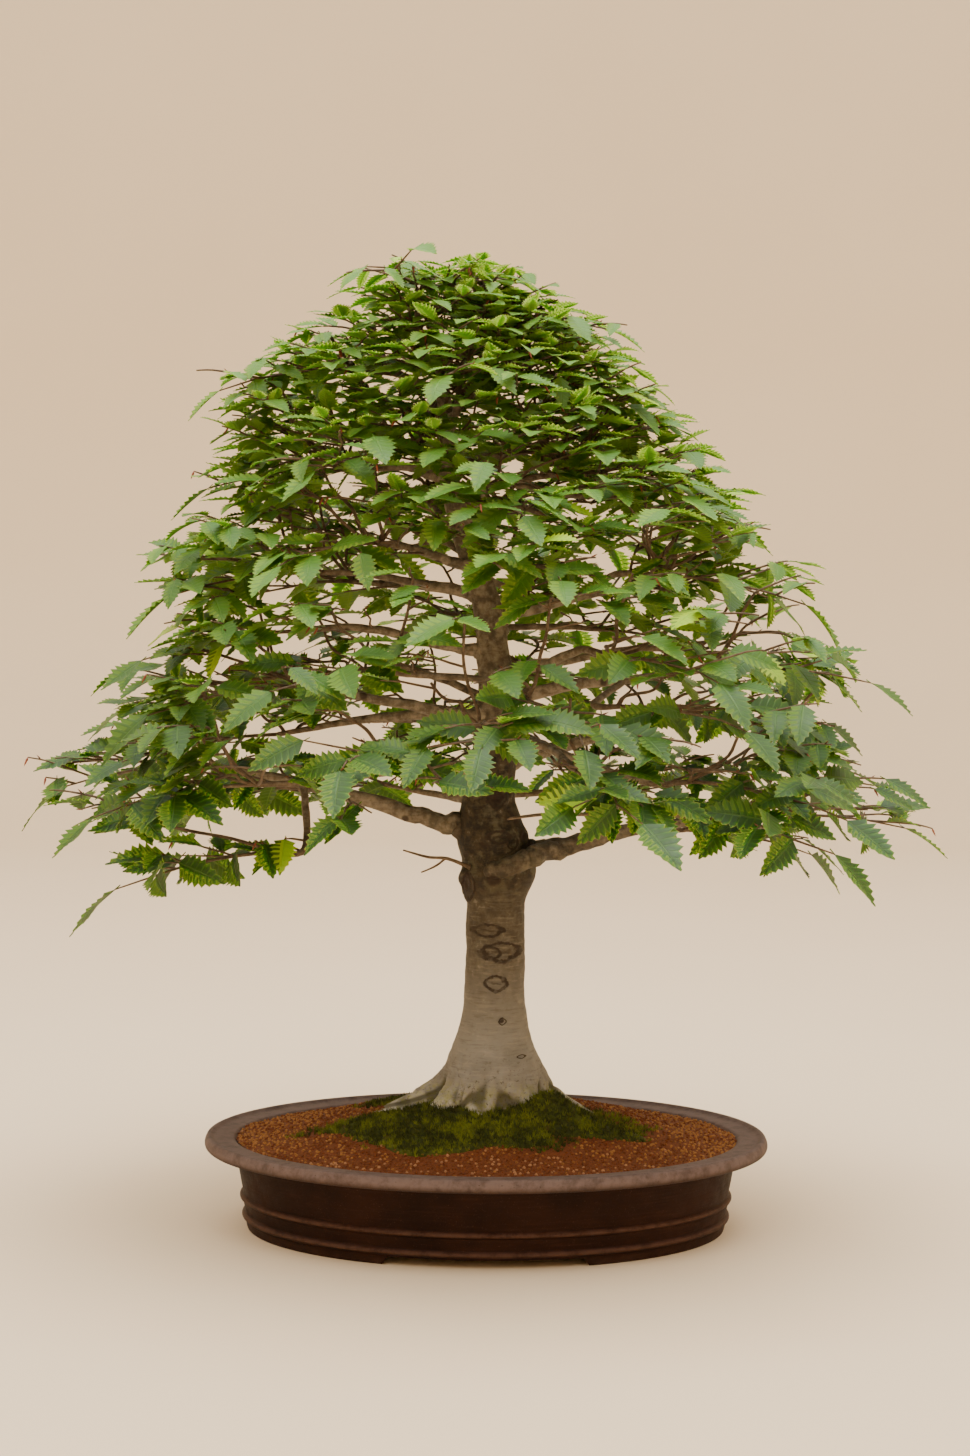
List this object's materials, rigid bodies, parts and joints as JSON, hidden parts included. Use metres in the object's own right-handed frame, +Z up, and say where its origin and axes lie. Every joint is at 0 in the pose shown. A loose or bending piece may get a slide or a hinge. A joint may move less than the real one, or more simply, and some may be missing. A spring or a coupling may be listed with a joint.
{
  "type": "beech bonsai",
  "caption": "Broad-crowned beech bonsai with toothed leaves on a flared pale trunk, growing from a mossy soil mound in a shallow oval unglazed pot.",
  "frame": {"origin": "middle of the whole object's box, at the bottom of the pot's feet", "axes": "+Z up along the trunk, +X to the right seen from the front, +Y to the back; the pot's length runs along X"},
  "size_m": [0.9262, 0.7162, 0.9731],
  "materials": {
    "pot_clay": "unglazed dark red-brown stoneware, matte, paler mineral haze on the rim",
    "screen_plastic": "black plastic mesh",
    "soil": "reddish-brown fired grit with golden grains",
    "moss": "dark green moss with brighter tufts",
    "bark": "smooth pale grey beech bark, browner above, lichen at the roots",
    "leaf": "satin green leaves with parallel veins"
  },
  "bodies": {
    "root": {"drain_screen_1": "screen_plastic", "drain_screen_2": "screen_plastic", "moss": "moss", "pot": "pot_clay", "soil": "soil", "spray_01": "leaf", "spray_02": "leaf", "spray_03": "leaf", "spray_04": "leaf", "spray_05": "leaf", "spray_06": "leaf", "spray_07": "leaf", "spray_08": "leaf", "spray_09": "leaf", "spray_10": "leaf", "spray_11": "leaf", "spray_12": "leaf", "spray_13": "leaf", "spray_14": "leaf", "spray_15": "leaf", "spray_16": "leaf", "spray_17": "leaf", "spray_18": "leaf", "spray_19": "leaf", "spray_20": "leaf", "spray_21": "leaf", "spray_22": "leaf", "spray_23": "leaf", "spray_24": "leaf", "spray_25": "leaf", "spray_26": "leaf", "spray_27": "leaf", "spray_28": "leaf", "spray_29": "leaf", "spray_30": "leaf", "spray_31": "leaf", "spray_32": "leaf", "spray_33": "leaf", "spray_34": "leaf", "spray_35": "leaf", "spray_36": "leaf", "spray_37": "leaf", "spray_38": "leaf", "spray_39": "leaf", "spray_40": "leaf", "spray_41": "leaf", "spray_42": "leaf", "spray_43": "leaf", "spray_44": "leaf", "spray_45": "leaf", "spray_46": "leaf", "spray_47": "leaf", "spray_48": "leaf", "spray_49": "leaf", "spray_50": "leaf", "spray_51": "leaf", "spray_52": "leaf", "spray_53": "leaf", "trunk_and_branches": "bark"}
  },
  "joints": []
}
